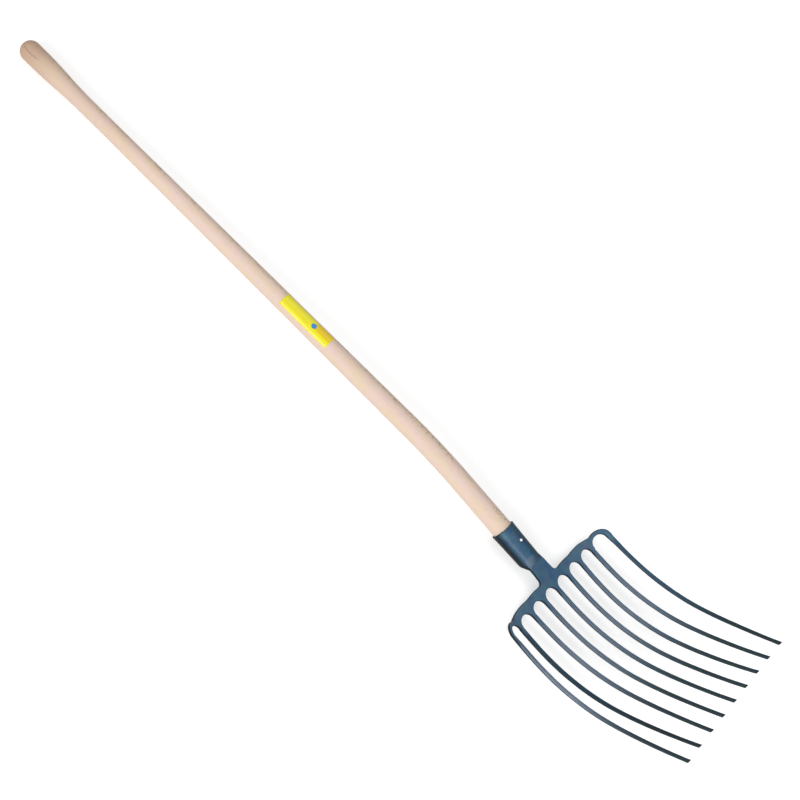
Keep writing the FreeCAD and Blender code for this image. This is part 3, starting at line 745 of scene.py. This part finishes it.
points = []
print_place = []
for skin in (LABEL_GLUE, LABEL_GLUE + LABEL_SKIN):
    for row in range(LABEL_ROWS + 1):
        for step in range(LABEL_STEPS + 1):
            u, v = row / LABEL_ROWS, step / LABEL_STEPS
            distance = LABEL_START + LABEL_LENGTH * u
            angle = LABEL_LOW + (LABEL_HIGH - LABEL_LOW) * v
            points.append(round_the_handle(distance, angle, handle_radius(distance) + skin))
            print_place.append((u, v, 0.0))
row_points = LABEL_STEPS + 1
layer = (LABEL_ROWS + 1) * row_points
faces = []
for row in range(LABEL_ROWS):
    for step in range(LABEL_STEPS):
        a = row * row_points + step
        square = (a, a + 1, a + row_points + 1, a + row_points)
        faces.append(tuple(reversed([i + layer for i in square])))
        faces.append(square)
edge = list(range(LABEL_STEPS))
edge += [LABEL_STEPS + row * row_points for row in range(LABEL_ROWS)]
edge += [layer - 1 - i for i in edge]
for a, b in zip(edge, edge[1:] + edge[:1]):
    faces.append((b, a, a + layer, b + layer))

paper, shader, wire = new_material("label_paper")
place = wire.node("Attribute", {"attribute_name": "print_place"}, {}, output="Vector")
u = wire.node("SeparateXYZ", {}, {"Vector": place}, output="X")
v = wire.node("SeparateXYZ", {}, {"Vector": place}, output="Y")


def past(value, at):
    """0 before this place in the print and 1 past it, with a crisp edge."""
    return value.rise(at - INK_BLUR, at + INK_BLUR)


def stripe(value, start, stop):
    return past(value, start) * (1 - past(value, stop))


deep = past(u, DEEP_FROM[0]) * past(v, DEEP_FROM[1])
colour = deep.between(LABEL_YELLOW, LABEL_DEEP)
line = stripe(v, *LINE_ACROSS) * stripe(u, *LINE_ALONG)
colour = line.between(colour, LABEL_LINE)
spot_along = (u - SPOT_AT[0]) * SPOT_STRETCH
spot_across = v - SPOT_AT[1]
from_spot = spot_along * spot_along + spot_across * spot_across
colour = (1 - from_spot.rise(*SPOT_EDGE)).between(colour, LABEL_BLUE)
creases = place.mottle(LABEL_CREASES, detail=3.0)
feed(
    shader,
    Base_Color=colour,
    Roughness=LABEL_ROUGH + creases * CREASE_ROUGH,
    Normal=creases.bump(strength=0.15, depth=0.0002),
)
set_evenly(shader, Specular_IOR_Level=0.3)
label = new_piece("paper_label", points, faces, paper)
add_attribute(label.data, "print_place", "FLOAT_VECTOR", np.array(print_place))
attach(label, "root")
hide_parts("label")

# The nail: a round-headed steel nail with bright zinc plating, driven through the
# socket's crown into the tenon to hold the head on.
ZINC_GREY = (0.82, 0.83, 0.84)
ZINC_BRIGHT = (0.95, 0.95, 0.94)
SPANGLES_PER_METRE = 1500.0
SPANGLE_EDGE = (0.3, 0.7)
ZINC_ROUGH = 0.28
SPANGLE_ROUGH = 0.1

zinc, shader, wire = new_material("nail_zinc")
place = wire.node("TexCoord", {}, {}, output="Object")
spangle = place.mottle(SPANGLES_PER_METRE)
feed(
    shader,
    Base_Color=spangle.rise(*SPANGLE_EDGE).between(ZINC_GREY, ZINC_BRIGHT),
    Roughness=ZINC_ROUGH + spangle * SPANGLE_ROUGH,
    Normal=spangle.bump(strength=0.2, depth=0.0001),
)
set_evenly(shader, Metallic=0.4)
nail_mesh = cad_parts["fixing_nail"].data
for slot_number in range(len(nail_mesh.materials)):
    nail_mesh.materials[slot_number] = zinc

# The camera looks down on the fork from its near side, through a long lens, as in the
# photo. Two large soft lamps and an even white room light it.
CAMERA_PLACE = (1.8144, 0.2366, 2.6503)
CAMERA_TURN = (27.9041, -22.5512, 130.8003)
CAMERA_LENS = 83.384
CAMERA_FILM = 36.0
CAMERA_REACH = 200.0
ROOM_LIGHT = (0.40, 0.40, 0.40)
ROOM_SEEN = (1.0, 1.0, 1.0)

camera = bpy.data.cameras.new("camera")
camera.lens = CAMERA_LENS
camera.sensor_width = CAMERA_FILM
camera.clip_end = CAMERA_REACH
viewer = bpy.data.objects.new("camera", camera)
viewer.location = CAMERA_PLACE
viewer.rotation_euler = Euler([math.radians(turn) for turn in CAMERA_TURN])
bpy.context.scene.collection.objects.link(viewer)
bpy.context.scene.camera = viewer


def add_lamp(name, towards, strength, width):
    """A soft lamp so far away that it lights the whole length evenly."""
    lamp = bpy.data.lights.new(name, "SUN")
    lamp.energy = strength
    lamp.angle = math.radians(width)
    holder = bpy.data.objects.new(name, lamp)
    holder.rotation_euler = Vector(towards).to_track_quat("Z", "Y").to_euler()
    bpy.context.scene.collection.objects.link(holder)


add_lamp("left_lamp", towards=(0.86, 0.10, 0.42), strength=2.0, width=36)
add_lamp("top_lamp", towards=(-0.45, 0.10, 0.85), strength=0.6, width=50)
room = bpy.data.worlds.new("room")
room.use_nodes = True
room_shader = room.node_tree.nodes["Background"]
feed(room_shader, Color=seen_directly(Wire(room.node_tree)).between(ROOM_LIGHT, ROOM_SEEN))
bpy.context.scene.world = room
bpy.context.scene.view_settings.view_transform = "Standard"
